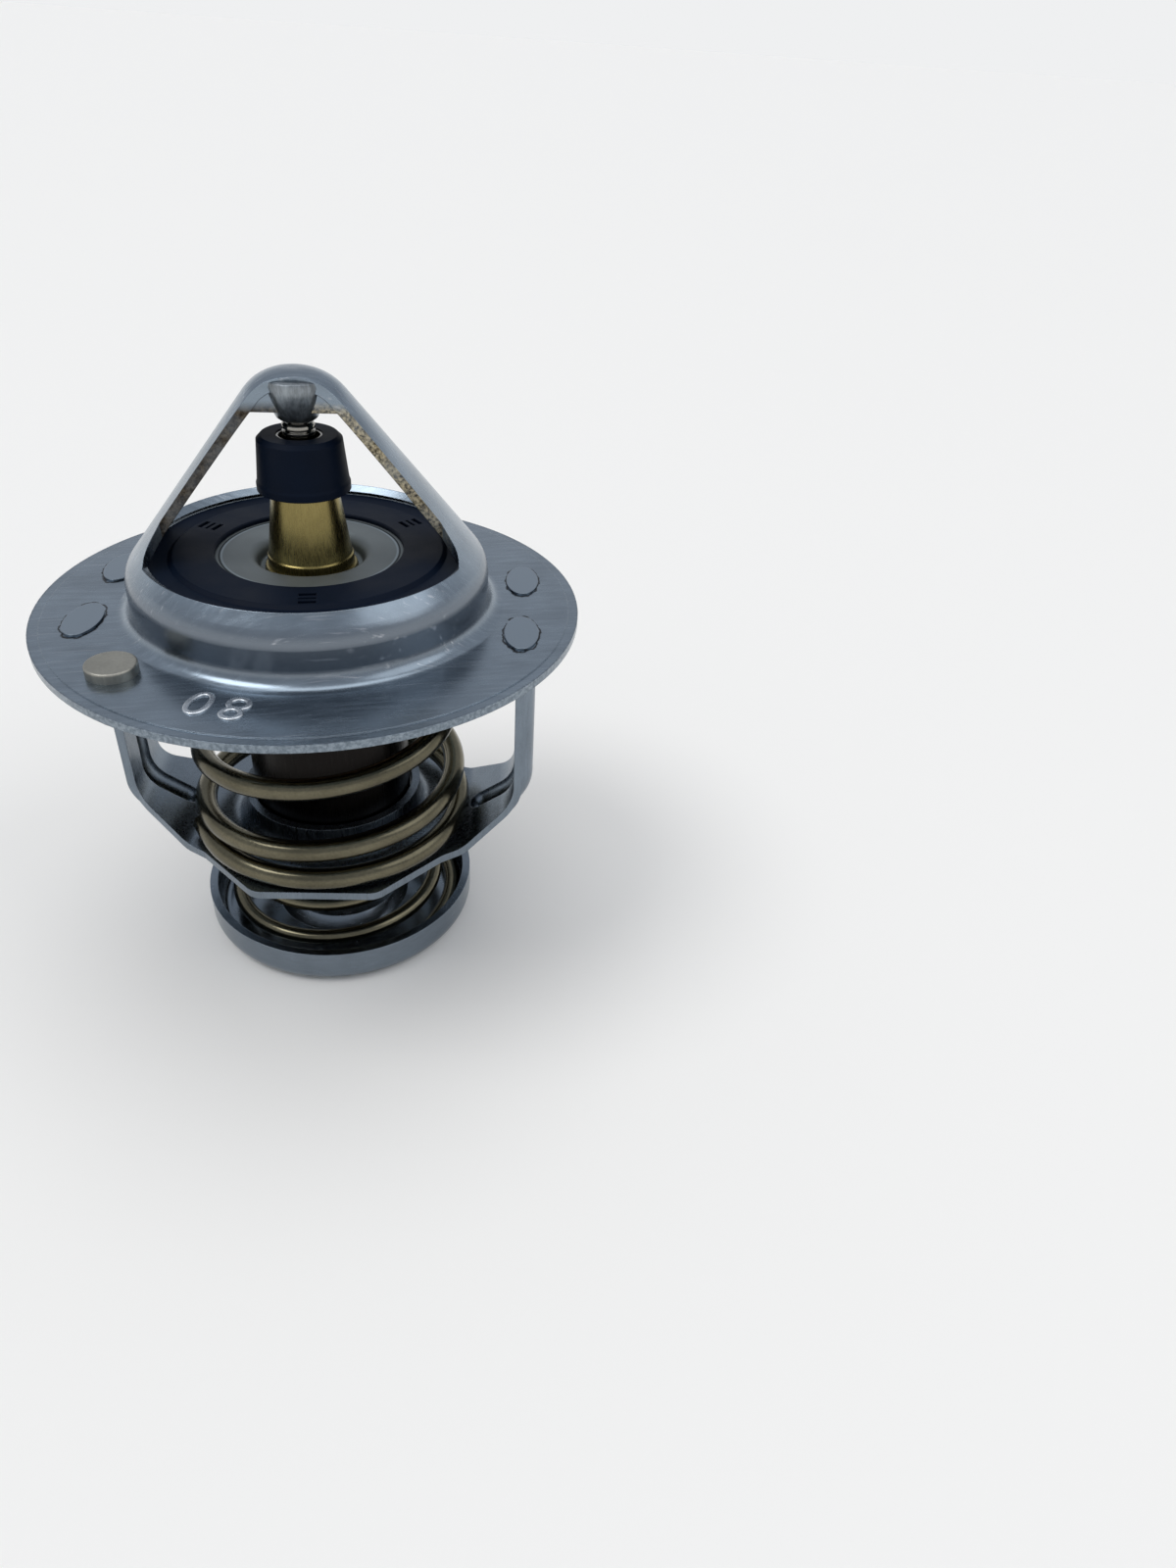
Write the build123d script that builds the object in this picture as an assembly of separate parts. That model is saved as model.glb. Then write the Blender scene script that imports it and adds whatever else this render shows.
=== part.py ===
"""Two-stage wax engine thermostat with a jiggle pin and a sprung bypass valve.

Millimetres, +Z up, the valve axis is Z. The origin is the centre of the rest plane,
which is the underside of the bypass dish. Heights named *_z are in this frame, and
heights named *_above or *_below are measured from the top of the mounting flange.
"""
from build123d import *
import os
from math import atan2, ceil, cos, hypot, pi, radians, sin, tan

# ---- driving dimensions: flange, collar and bridge (one drawn sheet) --------------
flange_z = 44.6             # top of the mounting flange above the rest plane
flange_radius = 30.0
sheet = 1.0                 # thickness of the upper frame's steel
rim_line_radius = 28.9      # coined step near the flange's edge
rim_line_depth = 0.12
collar_radius = 19.6        # outside of the drawn collar
knee_above = 5.0            # height at which the collar starts to lean in
cone_lean = 38.3            # degrees from the valve axis
apex_above = 25.5           # top of the bridge
seat_above = 7.2            # outer edge of the coolant opening
base_bend = 1.7             # bend radius, flange to collar, on the top face
knee_bend = 3.2             # bend radius, collar to cone, on the outer face
apex_bend = 5.9             # bend radius over the top of the bridge, outer face
bridge_turn = -7.0          # degrees, direction of the bridge about the valve axis
arm_half_width_top = 2.6    # half width of the bridge beside its boss
arm_half_width_low = 4.1    # half width of the bridge arms where they start to flare
arm_top_run = 3.0           # the arms keep their top width out to this distance
arm_top_bend = 6.0          # bend radius in the plan where the arms start to widen
arm_low_run = 14.3          # the arms start to flare at this distance from the axis
arm_low_bend = 0.8
arm_flare = 1.5             # the flare adds this to the half width of an arm
arm_foot_run = 16.1         # the windows end at this distance along the arms
arm_foot_bend = 2.0
window_corner = 1.2         # corner radius of the windows, in the plan
boss_radius_top = 2.7
boss_radius_waist = 2.55
boss_radius_low = 1.9
boss_waist_above = 22.3
boss_bottom_above = 20.6
boss_bore_depth = 2.6
web_bottom_above = 21.6     # the webs beside the boss fill the bridge down to here
web_half_width_low = 2.2
web_half_width_top = 2.5

# ---- driving dimensions: lower frame (one folded sheet) ----------------------------
strap_sheet = 1.0
frame_turn = -12.0          # degrees, direction of the legs' plane about the valve axis
leg_radius = 24.0           # outer face of the legs
leg_width = 9.4             # of the upright part
leg_foot_width = 20.6       # the legs widen to this where they run into the plate
leg_foot_run = 14.3
leg_head_width = 18.6       # the legs widen under the flange to carry two tabs each
leg_head_height = 5.0
leg_slope_end = 17.0        # the sloped part of a leg meets the plate here
leg_slope_drop = 4.7        # height of the sloped part of a leg
leg_bend = 5.0
foot_bend = 2.0
plate_top_below = 29.2
plate_apothem = 17.4        # centre to the flats of the octagonal plate
plate_corner = 2.5
guide_collar_wall = 1.0
guide_collar_height = 4.2   # drawn guide collar above the plate
guide_collar_bend = 2.4
rib_radius = 2.4            # pressed stiffening rib on each leg, outer surface
rib_groove_radius = 1.5
rib_top_below = 3.8
rib_end_run = 18.6          # the rib ends this far from the valve axis
tab_offset = 6.8            # tabs each side of the leg's centre line
tab_width = 4.6
tab_head_length = 7.6       # flattened tab heads on the flange
tab_head_width = 3.8
tab_head_height = 0.2
slot_clearance = 0.05

# ---- driving dimensions: thermal element --------------------------------------------
piston_radius = 1.7
piston_tip_radius = 1.1     # spigot that stands in the boss
piston_shoulder_above = 20.2
piston_groove_drop = 0.9     # groove's lower side below the shoulder
piston_groove_width = 0.3
piston_groove_depth = 0.25
piston_end_below = 18.0
running_clearance = 0.06
fit_clearance = 0.02
guide_base_radius = 4.68
guide_base_height = 1.3
guide_waist_radius = 3.35
guide_waist_above = 14.4
guide_neck_wall = 0.24
guide_top_above = 17.4
guide_swage_lip = 0.2       # the swage laps this far over the disc
guide_swage_height = 0.4
guide_neck_in_disc = 4.9
guide_shoulder_radius = 6.6
guide_flange_height = 2.0
cap_top_above = 18.9
cap_bottom_above = 13.2
cap_radius_top = 4.42
cap_radius_low = 4.8
cap_lip = 0.12
cap_lip_height = 0.7
cap_mouth_gap = 0.4         # between the guide's neck and the cap's mouth
cap_mouth_depth = 2.0
ferrule_wall = 0.22
ferrule_stand = 0.1         # the ferrule's top stays this far below the cap's top
pellet_radius = 9.6
pellet_wall = 0.8
pellet_top_below = 0.6
pellet_bottom_below = 31.0
pellet_corner = 1.4
pellet_lip = 1.9            # width of the lip rolled over the guide's flange
pellet_lip_height = 0.6
boot_flange_height = 1.2
boot_wall = 1.7
boot_end_below = 24.5
boot_end_wall = 2.2
backing_ring_height = 0.6
backing_ring_radius = 5.2

# ---- driving dimensions: main valve ---------------------------------------------------
disc_top_above = 5.9
disc_sheet = 1.0
disc_radius = 16.4
disc_dip = 1.6              # drawn-down centre of the disc
disc_dip_radius = 6.0       # where the wall of the dip meets the disc's top
disc_dip_foot = 5.6
disc_dip_bend = 1.2
disc_hole_clearance = 0.02
ring_inner_radius = 10.15
ring_land_radius = 14.5
ring_land_height = 0.5      # land above the disc
ring_skirt = 1.0            # rubber below the disc's underside
ring_under_radius = 15.4
ring_side_below_knee = 0.6
seat_gap = 0.25
mark_count = 3
mark_turn = 146.0           # degrees, direction of the first moulded mark
mark_radius = 12.95
mark_length = 2.3           # along the radius
mark_width = 1.8
mark_depth = 0.35
mark_bar = 0.45

# ---- driving dimensions: springs ------------------------------------------------------
spring_seat_gap = 0.1       # drawn between a coil's flank and its seat
main_wire = 2.6
main_radius_low = 16.1
main_radius_top = 13.4
main_turns = 5.32
main_start = 150.0          # degrees, direction of the lower end
main_ease_low = 1.5         # the pitch grows over these turns at the lower end
main_ease_top = 1.1         # and falls over these at the upper end
bypass_wire = 1.9
bypass_radius_low = 14.9
bypass_radius_top = 6.8
bypass_turns = 3.6
bypass_start = -48.0
bypass_closed_turns = 0.45
bypass_ease = 0.5
coil_steps = 20             # short straight lengths in each turn of a spring
wire_sides = 10

# ---- driving dimensions: bypass valve and jiggle pin --------------------------------
dish_radius = 17.2
dish_sheet = 1.0
dish_depth = 5.0            # rim above the rest plane
dish_corner = 1.6
dish_rise = 1.5             # raised centre that clears the clip
dish_rise_radius = 8.6
dish_rise_slope = 1.2
stem_radius = 2.8
stem_head_radius = 5.4
stem_head_height = 1.2
stem_groove_depth = 0.6
clip_height = 0.5
clip_radius = 4.3
clip_gap = 2.6
stem_tip = 0.5
jiggle_turn = -145.8
jiggle_gap = 0.75           # between the pin's head and the collar's bend
jiggle_head_radius = 2.55
jiggle_head_height = 1.1
jiggle_shank_radius = 0.95
jiggle_hole_radius = 1.5
jiggle_travel = 1.6
jiggle_bulb_radius = 2.2
jiggle_bulb_height = 3.4
jiggle_bulb_taper = 1.0     # the bulb narrows over this height at its lower end
jiggle_bulb_lip = 0.8       # and over this height at its upper end

# ---- worked-out sizes ------------------------------------------------------------------
lean = radians(cone_lean)
seat_radius = collar_radius - (seat_above - knee_above) * tan(lean)
jiggle_pitch_radius = collar_radius + base_bend + jiggle_gap + jiggle_head_radius
strap_bottom_z = flange_z - plate_top_below - strap_sheet
plate_top_z = flange_z - plate_top_below
pellet_bottom_z = flange_z - pellet_bottom_below
pellet_top_z = flange_z - pellet_top_below
disc_top_z = flange_z + disc_top_above
disc_under_z = disc_top_z - disc_sheet
hole_in_disc = guide_neck_in_disc + disc_hole_clearance
guide_bore = piston_radius + running_clearance
guide_neck_radius = guide_bore + guide_neck_wall
cap_mouth_radius = guide_neck_radius + cap_mouth_gap
guide_swage_radius = guide_neck_in_disc + guide_swage_lip
pellet_bore = pellet_radius - pellet_wall
guide_flange_top_z = pellet_top_z - pellet_lip_height
guide_flange_bottom_z = guide_flange_top_z - guide_flange_height
swage_z = disc_top_z - disc_dip
disc_seat_z = swage_z - disc_sheet
stem_head_bottom_z = pellet_bottom_z - stem_head_height
dish_floor_z = dish_sheet
dish_centre_z = dish_rise + dish_sheet


def turned(points):
    """Solid turned about the valve axis from an outline of (radius, z) points."""
    return revolve(Plane.XZ * make_face(Polyline(*points, close=True)), Axis.Z)


def at(turn, radius, z):
    """Place at a direction, a radius and a height, turned to face outwards."""
    return Rot(0, 0, turn) * Pos(radius, 0, z)


def ring_edges(solid, radius, z, slack=0.02):
    """Circular edges of a turned solid at one radius and height."""
    found = solid.edges().filter_by(GeomType.CIRCLE)
    return found.filter_by(lambda e: abs(e.radius - radius) < slack
                           and abs(e.arc_center.Z - z) < slack)


# ---- upper frame ----------------------------------------------------------------------
def frame_line(inset):
    """One face of the drawn sheet, from the flange's edge to the top of the bridge."""
    apex = apex_above - inset
    knee = knee_above - inset * tan(lean / 2)
    wall = collar_radius - inset
    shoulder = wall - (apex - knee) * tan(lean)
    corners = [(flange_radius, -inset), (wall, -inset), (wall, knee), (shoulder, apex), (0, apex)]
    bends = [base_bend + inset, knee_bend - inset, apex_bend - inset]
    return FilletPolyline(*corners, radius=bends)


def bridge_plan():
    """Plan of the bridge strap, which is left standing between the two windows."""
    reach, edge = flange_radius, seat_radius + sheet
    quarter = FilletPolyline(
        (0, arm_half_width_top), (arm_top_run, arm_half_width_top),
        (arm_low_run, arm_half_width_low), (arm_foot_run, arm_half_width_low + arm_flare),
        (arm_foot_run, edge), radius=[arm_top_bend, arm_low_bend, arm_foot_bend])
    face = make_face(quarter + Polyline((arm_foot_run, edge), (reach, edge), (reach, 0), (0, 0),
                                        (0, arm_half_width_top)))
    half = face + mirror(face, Plane.XZ)
    return half + mirror(half, Plane.YZ)


def window_plan():
    """Plan of the two coolant windows, with rounded corners at the arms' feet."""
    windows = Circle(seat_radius + fit_clearance) - bridge_plan()
    corners = windows.vertices().filter_by(lambda v: abs(abs(v.X) - arm_foot_run) < 0.01
                                           and hypot(v.X, v.Y) > seat_radius)
    return Rot(0, 0, bridge_turn) * fillet(corners, window_corner)


def boss_webs():
    """Solid metal under the top of the bridge, on both sides of the boss."""
    apex = apex_above - sheet / 2
    shoulder = (collar_radius - sheet / 2
                - (apex - knee_above + sheet / 2 * tan(lean / 2)) * tan(lean))
    run = shoulder + (apex - web_bottom_above) * tan(lean)
    under = FilletPolyline((run, web_bottom_above), (shoulder, apex), (0, apex),
                           radius=apex_bend - sheet / 2)
    dome = make_face(under + Polyline((0, apex), (0, web_bottom_above), (run, web_bottom_above)))
    across = make_face(Polyline(
        (-web_half_width_low, web_bottom_above), (web_half_width_low, web_bottom_above),
        (web_half_width_top, apex_above), (-web_half_width_top, apex_above), close=True))
    bar = extrude(Plane.YZ * across, run + sheet, both=True)
    return Rot(0, 0, bridge_turn) * (bar & revolve(Plane.XZ * dome, Axis.Z))


def tab_places():
    """Turn, distance along the leg's direction and sideways offset of the four tabs."""
    middle = leg_radius - strap_sheet / 2
    return [(frame_turn + side * 180, middle, offset)
            for side in (0, 1) for offset in (-tab_offset, tab_offset)]


def upper_frame():
    top, under = frame_line(0), frame_line(sheet)
    outline = make_face(top + Line((0, apex_above), (0, apex_above - sheet)) + under
                        + Line((flange_radius, -sheet), (flange_radius, 0)))
    shell = Pos(0, 0, flange_z) * revolve(Plane.XZ * outline, Axis.Z)
    run = collar_radius + sheet
    lift = 1 / tan(pi / 2 - lean)
    cut_low = flange_z + seat_above - seat_radius * lift
    above = turned([(0, cut_low), (run, cut_low + run * lift),
                    (run, flange_z + apex_above + sheet), (0, flange_z + apex_above + sheet)])
    shell -= above & (Pos(0, 0, flange_z) * extrude(window_plan(), apex_above + 2 * sheet))
    shell += Pos(0, 0, flange_z) * boss_webs()
    boss_bottom = flange_z + boss_bottom_above
    boss_waist = flange_z + boss_waist_above
    boss_top = flange_z + apex_above - sheet / 2
    shell += turned([(0, boss_bottom), (boss_radius_low - 0.2, boss_bottom),
                     (boss_radius_low, boss_bottom + 0.15), (boss_radius_waist, boss_waist),
                     (boss_radius_top, boss_top), (0, boss_top)])
    bore = piston_tip_radius + fit_clearance
    shell -= Pos(0, 0, boss_bottom) * Cylinder(bore, boss_bore_depth,
                                               align=(Align.CENTER, Align.CENTER, Align.MIN))
    step_low, step_top, step_out = flange_z - rim_line_depth, flange_z + sheet, flange_radius + sheet
    shell -= turned([(rim_line_radius, step_low), (step_out, step_low),
                     (step_out, step_top), (rim_line_radius, step_top)])
    for turn, run, offset in tab_places():
        slot = Box(strap_sheet + 2 * slot_clearance, tab_width + 2 * slot_clearance, 4 * sheet)
        shell -= Rot(0, 0, turn) * Pos(run, offset, flange_z) * slot
    shell -= at(jiggle_turn, jiggle_pitch_radius, flange_z) * Cylinder(jiggle_hole_radius, 4 * sheet)
    return shell


# ---- lower frame ------------------------------------------------------------------------
def leg_line(inset):
    """One face of a leg and the plate, in the legs' plane, from the axis to the flange."""
    bottom = strap_bottom_z + inset
    wall = leg_radius - inset
    steep = atan2(leg_slope_drop, leg_radius - leg_slope_end)
    foot = leg_slope_end - inset * tan(steep / 2)
    knee = strap_bottom_z + leg_slope_drop + inset * tan(pi / 4 - steep / 2)
    return [(0, bottom), (foot, bottom), (wall, knee), (wall, flange_z - sheet)]


def lower_frame():
    under, over = leg_line(0), leg_line(strap_sheet)
    over_line = FilletPolyline(*over, radius=[foot_bend + strap_sheet, leg_bend - strap_sheet])
    outline = make_face(FilletPolyline(*under, radius=[foot_bend, leg_bend]) + Line(under[-1], over[-1])
                        + over_line + Line(over[0], under[0]))
    blank = make_face(Polyline(
        (0, -leg_foot_width / 2), (leg_foot_run, -leg_foot_width / 2),
        (leg_radius - strap_sheet, -leg_width / 2), (leg_radius + strap_sheet, -leg_width / 2),
        (leg_radius + strap_sheet, leg_width / 2), (leg_radius - strap_sheet, leg_width / 2),
        (leg_foot_run, leg_foot_width / 2), (0, leg_foot_width / 2), close=True))
    leg = extrude(Plane.XZ * outline, leg_foot_width, both=True) & extrude(blank, flange_z)
    head_low = flange_z - sheet - leg_head_height
    head_face = make_face(Polyline(
        (-leg_width / 2, head_low), (-leg_head_width / 2, head_low + leg_head_height / 2),
        (-leg_head_width / 2, flange_z - sheet), (leg_head_width / 2, flange_z - sheet),
        (leg_head_width / 2, head_low + leg_head_height / 2), (leg_width / 2, head_low), close=True))
    leg += Pos(leg_radius - strap_sheet, 0, 0) * extrude(Plane.YZ * head_face, strap_sheet)
    rib_start = (leg_radius - strap_sheet, flange_z - rib_top_below)
    corners = over[1:3]
    steep = (corners[1][1] - corners[0][1]) / (corners[1][0] - corners[0][0])
    rib_end = (rib_end_run, corners[0][1] + (rib_end_run - corners[0][0]) * steep)
    path = Plane.XZ * FilletPolyline(rib_start, corners[1], rib_end, radius=leg_bend - strap_sheet)
    start_plane = Plane(origin=path @ 0, z_dir=path % 0)
    ends = [path @ 0, path @ 1]

    def rod(radius):
        body = sweep(start_plane * Circle(radius), path=path)
        for end in ends:
            body += Pos(*end) * Sphere(radius)
        return body

    outside = leg + rod(rib_radius)
    inner_side = make_face(over_line + Polyline(over[-1], (0, flange_z - sheet), over[0]))
    outside -= extrude(Plane.XZ * inner_side, leg_head_width, both=True)
    leg = outside - rod(rib_groove_radius)
    legs = leg + Rot(0, 0, 180) * leg
    side = 2 * plate_apothem * tan(radians(22.5))
    plate = RegularPolygon(side / 2 / sin(radians(22.5)), 8, rotation=22.5)
    plate = fillet(plate.vertices(), plate_corner)
    legs += Pos(0, 0, strap_bottom_z) * extrude(plate, strap_sheet)
    bore = pellet_radius + 0.3
    outer = bore + guide_collar_wall
    top = plate_top_z + guide_collar_height
    foot = outer + guide_collar_bend
    swell = FilletPolyline((outer, top), (outer, plate_top_z), (foot + 1, plate_top_z),
                           radius=guide_collar_bend)
    section = make_face(swell + Polyline((foot + 1, plate_top_z), (foot + 1, strap_bottom_z),
                                         (bore, strap_bottom_z), (bore, top), (outer, top)))
    legs += revolve(Plane.XZ * section, Axis.Z)
    inner_bend = FilletPolyline((bore, top), (bore, strap_bottom_z), (foot, strap_bottom_z),
                                radius=guide_collar_bend + guide_collar_wall)
    relief = make_face(inner_bend + Polyline((foot, strap_bottom_z), (foot, strap_bottom_z - 1),
                                             (0, strap_bottom_z - 1), (0, top), (bore, top)))
    legs -= revolve(Plane.XZ * relief, Axis.Z)
    legs -= Pos(0, 0, plate_top_z) * Cylinder(bore, plate_top_below)
    body = Rot(0, 0, frame_turn) * legs
    for turn, run, offset in tab_places():
        tab_height = sheet + 0.05
        tab = Pos(0, 0, -sheet - 0.05) * Box(strap_sheet, tab_width, tab_height + 0.05,
                                             align=(Align.CENTER, Align.CENTER, Align.MIN))
        head = extrude(Ellipse(tab_head_width / 2, tab_head_length / 2), tab_head_height)
        body += Rot(0, 0, turn) * Pos(run, offset, flange_z) * (tab + head)
    return body


# ---- thermal element -------------------------------------------------------------------
def piston():
    tip_top = flange_z + boss_bottom_above + boss_bore_depth
    shoulder = flange_z + piston_shoulder_above
    end = flange_z - piston_end_below
    taper = 1.5
    groove_low = shoulder - piston_groove_drop
    groove_top = groove_low + piston_groove_width
    groove = piston_radius - piston_groove_depth
    return turned([(0, end), (piston_radius * 0.6, end), (piston_radius, end + taper),
                   (piston_radius, groove_low), (groove, groove_low), (groove, groove_top),
                   (piston_radius, groove_top), (piston_radius, shoulder - 0.25),
                   (piston_radius - 0.2, shoulder),
                   (piston_tip_radius, shoulder), (piston_tip_radius, tip_top), (0, tip_top)])


def cone_radius(z_above):
    """Radius of the guide's turned cone at a height above the flange."""
    low = swage_z - flange_z + guide_swage_height + guide_base_height
    share = (z_above - low) / (guide_waist_above - low)
    return guide_base_radius - 0.15 + share * (guide_waist_radius - guide_base_radius + 0.15)


def guide():
    base = swage_z + guide_swage_height
    cone_foot = base + guide_base_height
    waist = flange_z + guide_waist_above
    top = flange_z + guide_top_above
    grip = pellet_bore - fit_clearance
    return turned([
        (guide_bore, guide_flange_bottom_z), (grip, guide_flange_bottom_z), (grip, guide_flange_top_z),
        (guide_shoulder_radius, guide_flange_top_z), (guide_shoulder_radius, disc_seat_z),
        (guide_neck_in_disc, disc_seat_z), (guide_neck_in_disc, swage_z),
        (guide_swage_radius, swage_z), (guide_swage_radius - 0.15, base), (guide_base_radius, base),
        (guide_base_radius, cone_foot - 0.15), (guide_base_radius - 0.15, cone_foot),
        (guide_waist_radius, waist), (guide_neck_radius, waist), (guide_neck_radius, top - 0.1),
        (guide_neck_radius - 0.1, top), (guide_bore, top)])


def guide_cap():
    top = flange_z + cap_top_above
    bottom = flange_z + cap_bottom_above
    waist = flange_z + guide_waist_above
    floor = top - cap_mouth_depth
    hug = cone_radius(cap_bottom_above) + fit_clearance
    chamfer = 0.45
    return turned([
        (hug, bottom), (cap_radius_low + cap_lip, bottom),
        (cap_radius_low + cap_lip, bottom + cap_lip_height),
        (cap_radius_low, bottom + cap_lip_height + 0.3),
        (cap_radius_top, top - chamfer), (cap_radius_top - chamfer, top), (cap_mouth_radius, top),
        (cap_mouth_radius, floor), (guide_neck_radius + fit_clearance, floor),
        (guide_neck_radius + fit_clearance, waist + fit_clearance),
        (guide_waist_radius + fit_clearance, waist + fit_clearance)])


def cap_ferrule():
    top = flange_z + cap_top_above - ferrule_stand
    floor = flange_z + cap_top_above - cap_mouth_depth
    outer = cap_mouth_radius - fit_clearance
    inner = outer - ferrule_wall
    neck = guide_neck_radius + fit_clearance
    return turned([(neck, floor), (outer, floor), (outer, top), (inner, top),
                   (inner, floor + ferrule_wall), (neck, floor + ferrule_wall)])


def pellet_cup():
    lip_inner = pellet_radius - pellet_lip
    cup = turned([
        (0, pellet_bottom_z), (pellet_radius, pellet_bottom_z), (pellet_radius, pellet_top_z),
        (lip_inner, pellet_top_z), (lip_inner, guide_flange_top_z), (pellet_bore, guide_flange_top_z),
        (pellet_bore, pellet_bottom_z + pellet_wall), (0, pellet_bottom_z + pellet_wall)])
    cup = fillet(ring_edges(cup, pellet_radius, pellet_bottom_z), pellet_corner)
    return fillet(ring_edges(cup, pellet_radius, pellet_top_z), pellet_wall / 2)


def boot_outline():
    top = guide_flange_bottom_z - backing_ring_height
    grip = pellet_bore - fit_clearance
    sleeve = guide_bore + boot_wall
    end = flange_z - boot_end_below
    return top, grip, sleeve, end


def seal_boot():
    top, grip, sleeve, end = boot_outline()
    return turned([(0, end), (sleeve * 0.7, end), (sleeve, end + 1), (sleeve, top - boot_flange_height),
                   (grip, top - boot_flange_height), (grip, guide_flange_bottom_z),
                   (backing_ring_radius + fit_clearance, guide_flange_bottom_z),
                   (backing_ring_radius + fit_clearance, top), (guide_bore, top),
                   (guide_bore, end + boot_end_wall), (0, end + boot_end_wall)])


def backing_ring():
    top = guide_flange_bottom_z
    low = top - backing_ring_height
    return turned([(guide_bore, low), (backing_ring_radius, low), (backing_ring_radius, top),
                   (guide_bore, top)])


def wax_charge():
    top, grip, sleeve, end = boot_outline()
    gap = fit_clearance
    roof = top - boot_flange_height
    floor = pellet_bottom_z + pellet_wall
    corner = 0.8
    return turned([(0, floor), (grip - corner, floor), (grip, floor + corner), (grip, roof),
                   (sleeve + gap, roof), (sleeve + gap, end + 1 - gap),
                   (sleeve * 0.7 + gap, end - gap), (0, end - gap)])


# ---- main valve -------------------------------------------------------------------------
def inner_cone_radius(z_above):
    """Inner face of the upper frame's cone at a height above the flange."""
    return collar_radius - (z_above - knee_above) * tan(lean) - sheet / cos(lean)


def valve_disc():
    top, under = disc_top_z, disc_under_z
    miter = disc_sheet * tan(atan2(disc_dip, disc_dip_radius - disc_dip_foot) / 2)
    upper = FilletPolyline((hole_in_disc, swage_z), (disc_dip_foot, swage_z), (disc_dip_radius, top),
                           (disc_radius, top), radius=[disc_dip_bend / 4, disc_dip_bend])
    lower = FilletPolyline((hole_in_disc, disc_seat_z), (disc_dip_foot + miter, disc_seat_z),
                           (disc_dip_radius + miter, under), (disc_radius, under),
                           radius=[disc_dip_bend / 2, disc_dip_bend / 6])
    section = make_face(upper + Line((disc_radius, top), (disc_radius, under)) + lower
                        + Line((hole_in_disc, disc_seat_z), (hole_in_disc, swage_z)))
    return revolve(Plane.XZ * section, Axis.Z)


def valve_ring():
    land = disc_top_z + ring_land_height
    seat_top = seat_above - sheet * sin(lean) - 0.4
    gap = seat_gap / cos(lean)
    bevel_top = inner_cone_radius(seat_top) - gap
    side_z = knee_above + ring_side_below_knee
    side = inner_cone_radius(side_z) - gap
    skirt = disc_under_z - ring_skirt
    ring = turned([
        (ring_inner_radius, disc_top_z), (ring_inner_radius, land - 0.15),
        (ring_inner_radius + 0.15, land),
        (ring_land_radius, land), (ring_land_radius + 0.5, land - 0.35), (bevel_top, flange_z + seat_top),
        (side, flange_z + side_z), (side, skirt + 0.4), (side - 0.4, skirt),
        (ring_under_radius, skirt), (ring_under_radius, disc_under_z), (disc_radius, disc_under_z),
        (disc_radius, disc_top_z)])
    for index in range(mark_count):
        turn = mark_turn + index * 360 / mark_count
        pocket = Box(mark_length, mark_width, 2 * mark_depth)
        bar = Box(mark_bar, mark_width, mark_depth, align=(Align.CENTER, Align.CENTER, Align.MIN))
        ring -= at(turn, mark_radius, land) * pocket
        for shift in (-mark_length / 6, mark_length / 6):
            ring += at(turn, mark_radius + shift, land - mark_depth) * bar
    return ring


# ---- springs ------------------------------------------------------------------------------
def coil(wire, low_z, top_z, low_radius, top_radius, turns, closed, ease_low, ease_top, start):
    """Right-handed conical spring between two seats, in short straight lengths.

    The pitch is nil over the closed turns, grows over ease_low and falls over ease_top.
    """
    points = []
    steps = ceil(turns * coil_steps)
    low, high = low_z + wire / 2 + spring_seat_gap, top_z - wire / 2 - spring_seat_gap
    free = turns - 2 * closed
    full = free - (ease_low + ease_top) / 2
    for index in range(steps + 1):
        share = index / steps
        turn = min(max(share * turns - closed, 0), free)
        if turn < ease_low:
            lift = turn * turn / 2 / ease_low
        elif turn > free - ease_top:
            lift = full - (free - turn) ** 2 / 2 / ease_top
        else:
            lift = turn - ease_low / 2
        radius = low_radius + (top_radius - low_radius) * share
        angle = radians(start + 360 * share * turns)
        points.append((radius * cos(angle), radius * sin(angle), low + (high - low) * lift / full))
    path = Polyline(*points)
    section = Plane(origin=path @ 0, z_dir=path % 0) * RegularPolygon(wire / 2, wire_sides)
    return sweep(section, path=path, transition=Transition.RIGHT)


def main_spring():
    return coil(main_wire, plate_top_z, disc_under_z, main_radius_low, main_radius_top,
                main_turns, 0, main_ease_low, main_ease_top, main_start)


def bypass_spring():
    return coil(bypass_wire, dish_floor_z, pellet_bottom_z, bypass_radius_low, bypass_radius_top,
                bypass_turns, bypass_closed_turns, bypass_ease, bypass_ease, bypass_start)


# ---- bypass valve ----------------------------------------------------------------------
def bypass_disc():
    wall = dish_radius - dish_sheet
    rise_in = dish_rise_radius - dish_rise_slope
    hole = stem_radius + 0.08
    under_shift = dish_sheet * 0.35
    dish = turned([
        (hole, dish_rise), (rise_in - under_shift, dish_rise), (dish_rise_radius - under_shift, 0),
        (dish_radius, 0), (dish_radius, dish_depth), (wall, dish_depth), (wall, dish_floor_z),
        (dish_rise_radius, dish_floor_z), (rise_in, dish_centre_z), (hole, dish_centre_z)])
    dish = fillet(ring_edges(dish, dish_radius, 0), dish_corner + dish_sheet * 0.5)
    return fillet(ring_edges(dish, wall, dish_floor_z), dish_corner * 0.7)


def bypass_stem():
    groove_top = dish_rise
    groove_low = groove_top - clip_height - fit_clearance
    inner = stem_radius - stem_groove_depth
    tip = groove_low - stem_tip
    return turned([(0, tip), (stem_radius - 0.2, tip), (stem_radius, tip + 0.2),
                   (stem_radius, groove_low), (inner, groove_low), (inner, groove_top),
                   (stem_radius, groove_top),
                   (stem_radius, stem_head_bottom_z), (stem_head_radius, stem_head_bottom_z),
                   (stem_head_radius, pellet_bottom_z), (0, pellet_bottom_z)])


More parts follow.
